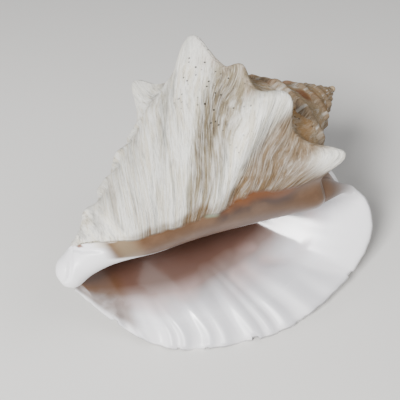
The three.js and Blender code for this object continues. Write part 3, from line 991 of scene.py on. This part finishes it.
# Grey of the painted shade in the valleys of the lip's waves
SHADE = srgb(150, 150, 156)
# Mauve brown of the throat, darkened by painted shade deep in the mouth
SHADED_THROAT = srgb(82, 54, 42)
FLOOR = srgb(222, 220, 216)

# Colours of the inside, from the azimuth of the rim to that of the throat: white, then greys and mauve brown
# that are partly the throat's own mauve and partly painted shade deeper in the mouth
INSIDE_FROM = -10
INSIDE_TO = 70
INSIDE_STOPS = [
    (0.0, PORCELAIN),
    (0.34, srgb(234, 233, 236)),
    (0.46, srgb(200, 198, 202)),
    (0.54, srgb(168, 163, 164)),
    (0.62, srgb(124, 106, 100)),
    (0.72, srgb(92, 66, 56)),
    (0.9, SHADED_THROAT),
]

# Streaks of three sizes along the growth lines: width in degrees, changes along the profile
STRIAE = (1.1, 30)
STREAKS = (4, 14)
SHADES = (9, 8)

# Roughness of the chalky outside, of the glaze, and what the rim and the callus each add to the glaze's
CHALK_ROUGHNESS = 0.85
GLAZE_ROUGHNESS = 0.17
DULLER = 0.2
FLOOR_ROUGHNESS = 0.9

# Height of the striae that only the material shows, in millimetres, and the grit between them as a part
STRIAE_HEIGHT = 1.4
GRIT = 0.22


def growth_noise(finish, width, length):
    """Streaks along the growth lines, and round the neck of the canal."""
    line, neck, share, turn = finish.attributes("line", "neck", "share", "turn")
    body = finish.noise(finish.vector(line / width, share * length, width), 4, 0.65)
    canal = finish.noise(finish.vector(neck * 1.8 / width, turn * length / 900, 7.0), 4, 0.65)
    on_neck = finish.step(share, 0.74, 0.82)
    return body * (1 - on_neck) + canal * on_neck


def tan_places(finish, valley):
    """Where the outside is tan: in the valley, near the mouth, in patches of the left, by the callus."""
    rib, share, past, knob = finish.attributes("rib", "share", "past", "knob")
    patches = finish.noise(finish.vector(rib / 22, share * 7, 3.0), 3)
    mouth = finish.step(rib, 243, 256)
    left = finish.step(rib, 190, 150) * finish.step(patches, 0.48, 0.66)
    by_callus = finish.step(past, -14, -3) * finish.step(share, 0.84, 0.76)
    places = valley * 0.5 + mouth * 0.85 + left * 0.4 + by_callus * 0.6
    return finish.step(places * (1 - knob * 0.85), 0, 1)


def borings(finish, place):
    """Small holes that something bored, in patches between the knobs."""
    rib, share = finish.attributes("rib", "share")
    patches = finish.noise(finish.scaled(place, 45.0), 2)
    bored = finish.band(rib, 184, 244, 5) * finish.step(share, 0.5, 0.42) * finish.step(patches, 0.42, 0.5)
    holes = finish.node("TexVoronoi", {"feature": "F1"}, {"Vector": place, "Scale": 270.0}, "Distance")
    return finish.step(holes, 0.21, 0.13) * bored


def outside_colour(finish, place, striae):
    """Chalky white, darker in the grooves of the striae and in streaks round the neck, with painted shade in
    the hollows of the relief, tan in places, browner on the ramp and spire.
    """
    rib, share, turn, past = finish.attributes("rib", "share", "turn", "past")
    height, knob = finish.attributes("relief", "knob")
    streaks = growth_noise(finish, *STREAKS)
    shades = growth_noise(finish, *SHADES)
    cloud = finish.noise(finish.scaled(place, 30.0), 3)
    beads = finish.noise(finish.vector(turn / 9, share * 5, 2.0), 3)
    valley = finish.band(rib, 204, 232, 5) * finish.step(share, 0.78, 0.6)
    tan = tan_places(finish, valley)
    ramp = finish.step(share + (streaks - 0.5) * 0.25, 0.36, 0.2)
    spire = finish.step(turn, 420, 480)
    neck = finish.step(share, 0.76, 0.83)
    crack = finish.spot(past, -1, 2.5, share, 0.875, 0.025)
    return finish.coats(CHALK, [
        (BONE, finish.step(streaks, 0.42, 0.62) * 0.55),
        (ASH, finish.step(shades, 0.5, 0.66) * 0.65),
        # Painted shade: ash grey in the hollows of the relief
        (ASH, finish.step(height, 0.2, -2.2) * 0.5),
        (DIRT_AND_SHADE, neck * finish.step(streaks, 0.52, 0.4) * 0.35),
        (MOSS, valley * finish.step(streaks, 0.35, 0.6) * 0.7),
        (TAN, tan * (0.78 + finish.step(streaks, 0.3, 0.6) * 0.22)),
        (RAMP_TAN, ramp * (0.7 + finish.step(streaks, 0.35, 0.6) * 0.3) * (1 - knob * 0.8)),
        (CHALK, finish.step(striae, 0.53, 0.68) * (0.5 - tan * 0.3)),
        # Painted shade: dark brown in the hollows of the relief where the striae are low
        (DIRT_AND_SHADE, finish.step(height, 0.1, -1.4) * finish.step(striae, 0.55, 0.38) * (0.25 + tan * 0.4)),
        # Darker in the fine grooves of the striae
        (DIRT_AND_SHADE, finish.step(striae, 0.46, 0.32) * (0.4 + tan * 0.2)),
        (HONEY, ramp * finish.step(cloud, 0.4, 0.6) * (1 - knob) * 0.6),
        (ROSE, spire * finish.step(cloud, 0.5, 0.66) * 0.6),
        (CHALK, (spire + ramp * 0.4) * finish.step(beads, 0.55, 0.68) * 0.35),
        (RUST, finish.spot(turn, 597, 12, share, 0.09, 0.05) * 0.85),
        (CHALK, knob * 0.5),
        (MOSS, crack * 0.8),
        (DIRT_AND_SHADE, crack * finish.step(striae, 0.55, 0.45) * 0.8),
        # Painted shade inside the small bored holes
        (HOLE_SHADE, borings(finish, place) * 0.9),
    ])


def porcelain_colour(finish, cloud, mottle):
    """Inside of the lip and the mouth: white, blushed, mauve brown in the throat darkened by painted shade,
    with painted shade in the valleys of the waves, stained by the canal.
    """
    share, turn, lip, wave = finish.attributes("share", "turn", "lip", "wave")
    inwards = turn - INSIDE_FROM - finish.step(share, 0.6, 0.8) * 7 + (cloud - 0.5) * 14
    along = inwards / (INSIDE_TO - INSIDE_FROM)
    # Painted shade: the glaze greys and darkens towards the throat, on top of its own mauve
    glaze = finish.node("ValToRGB", {"stops": INSIDE_STOPS}, {"Fac": along}, "Color")
    stain = finish.step(share, 0.8, 0.85) * finish.band(lip, 0.3, 0.88, 0.1)
    return finish.coats(glaze, [
        (BLUSH, finish.band(turn, 26, 42, 8) * finish.step(cloud, 0.45, 0.6) * 0.4),
        # Painted shade in the valleys of the lip's waves
        (SHADE, finish.step(wave, 0.2, -1.7) * finish.step(lip, 0.4, 0.6) * 0.45),
        (CALLUS_TAN, stain * (0.5 + finish.step(mottle, 0.3, 0.6) * 0.25)),
    ])


def callus_colour(finish, cloud, mottle):
    """Callus on the last whorl: tan and brown by its edge, then the porcelain of the columella, darkened by
    painted shade deep in the mouth.
    """
    share, turn, past = finish.attributes("share", "turn", "past")
    brown = finish.band(share, 0.385, 0.575, 0.02) * finish.step(past, 22, 10)
    film = finish.band(share, 0.575, 0.6, 0.01) * finish.step(past, 6, 1)
    # Painted shade: the columella darkens to the shaded throat deep in the mouth
    columella = finish.mix(PORCELAIN, SHADED_THROAT, finish.step(turn, 350, 430))
    canal = finish.step(share, 0.83, 0.87)
    canal_edge = finish.step(finish.step(share, 0.84, 0.8) + finish.step(past, 22, 10), 0.2, 1.0)
    return finish.coats(CALLUS_PALE, [
        (CALLUS_TAN, finish.step(mottle, 0.35, 0.6)),
        (CALLUS_BROWN, brown * (0.55 + finish.step(mottle, 0.35, 0.55) * 0.4)),
        (RUST, brown * finish.step(cloud, 0.48, 0.6) * finish.step(past, 12, 4) * 0.6),
        (FILM, film * 0.8),
        (BONE, finish.band(share, 0.78, 0.83, 0.02) * 0.2),
        (columella, finish.step(past, 42, 56)),
        (columella, canal),
        (BONE, canal * canal_edge * finish.step(share, 0.88, 0.84) * 0.8),
        (RUST, finish.spot(share, 0.895, 0.006, past, 4, 7) * 0.9),
    ])


def shell_finish():
    """Chalk outside, and glaze on the callus and inside the mouth."""
    finish = Finish("shell")
    place = finish.node("TexCoord", output="Object")
    inside, callus, lip = finish.attributes("inside", "callus", "lip")
    glazed = finish.maths("MAXIMUM", inside, callus)
    cloud = finish.noise(finish.scaled(place, 30.0), 2)
    mottle = finish.noise(finish.scaled(place, 75.0), 3)
    glaze = finish.mix(callus_colour(finish, cloud, mottle), porcelain_colour(finish, cloud, mottle), inside)
    striae = growth_noise(finish, *STRIAE)
    grit = finish.noise(finish.scaled(place, 900.0), 3)
    height = (striae + grit * GRIT) * (1 - glazed)
    bump = finish.node("Bump", None, {"Strength": 1.0, "Distance": STRIAE_HEIGHT * MM, "Height": height})
    dull = finish.step(lip, 0.68, 0.86) * DULLER + callus * DULLER
    return finish.done({
        "Base Color": finish.mix(outside_colour(finish, place, striae), glaze, glazed),
        "Roughness": CHALK_ROUGHNESS - glazed * (CHALK_ROUGHNESS - GLAZE_ROUGHNESS - dull),
        "Normal": bump,
    })


def floor_finish():
    """A plain pale floor."""
    return Finish("floor").done({"Base Color": FLOOR, "Roughness": FLOOR_ROUGHNESS})


# Scene


def added(name, data):
    """A new object in the scene."""
    made = bpy.data.objects.new(name, data)
    bpy.context.scene.collection.objects.link(made)
    return made


def make_mesh(name, points, quads, values):
    """An object of the points that its faces use, with the values as attributes."""
    used, index = np.unique(quads, return_inverse=True)
    mesh = bpy.data.meshes.new(name)
    mesh.from_pydata(points[used].tolist(), [], index.reshape(quads.shape).tolist())
    for key, value in values.items():
        attribute = mesh.attributes.new(key, "FLOAT", "POINT")
        attribute.data.foreach_set("value", value[used].astype(np.float32))
    mesh.validate()
    mesh.shade_smooth()
    return added(name, mesh)


def add_lamp(name, size, power, place):
    """A square lamp that points at the shell."""
    data = bpy.data.lights.new(name, "AREA")
    data.size = size
    data.energy = power
    lamp = added(name, data)
    lamp.location = place
    lamp.rotation_euler = (LAMP_AIM - lamp.location).to_track_quat("-Z", "Y").to_euler()


points, quads, values = build_surface()
low_corner, high_corner = np.array(cad_box)
margin = BOX_MARGIN * MM
kept_inside = np.clip(to_row_frame(points), low_corner + margin, high_corner - margin)
shell = make_mesh("shell", kept_inside, quads, values)
shell.data.materials.append(shell_finish())
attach(shell, "root")
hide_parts("queen_conch_shell")

floor_corners = [(x * FLOOR_REACH, y * FLOOR_REACH, 0) for x, y in ((-1, -1), (1, -1), (1, 1), (-1, 1))]
floor_mesh = bpy.data.meshes.new("floor")
floor_mesh.from_pydata(floor_corners, [], [(0, 1, 2, 3)])
floor_mesh.materials.append(floor_finish())
floor = added("floor", floor_mesh)

camera_data = bpy.data.cameras.new("camera")
camera_data.sensor_width = CAMERA_SENSOR
camera_data.lens = CAMERA_SENSOR / 2 / math.tan(math.radians(CAMERA_FIELD / 2))
camera = added("camera", camera_data)
camera.location = Vector((ORIGIN_AT + CAMERA_FROM_ORIGIN) * MM)
camera.rotation_euler = (math.radians(CAMERA_PITCH), 0, 0)
bpy.context.scene.camera = camera

for lamp_name, lamp in LAMPS.items():
    add_lamp(lamp_name, *lamp)
world = bpy.context.scene.world or bpy.data.worlds.new("world")
bpy.context.scene.world = world
world.use_nodes = True
sky = world.node_tree.nodes["Background"].inputs
sky["Color"].default_value = SKY_COLOUR
sky["Strength"].default_value = SKY_STRENGTH
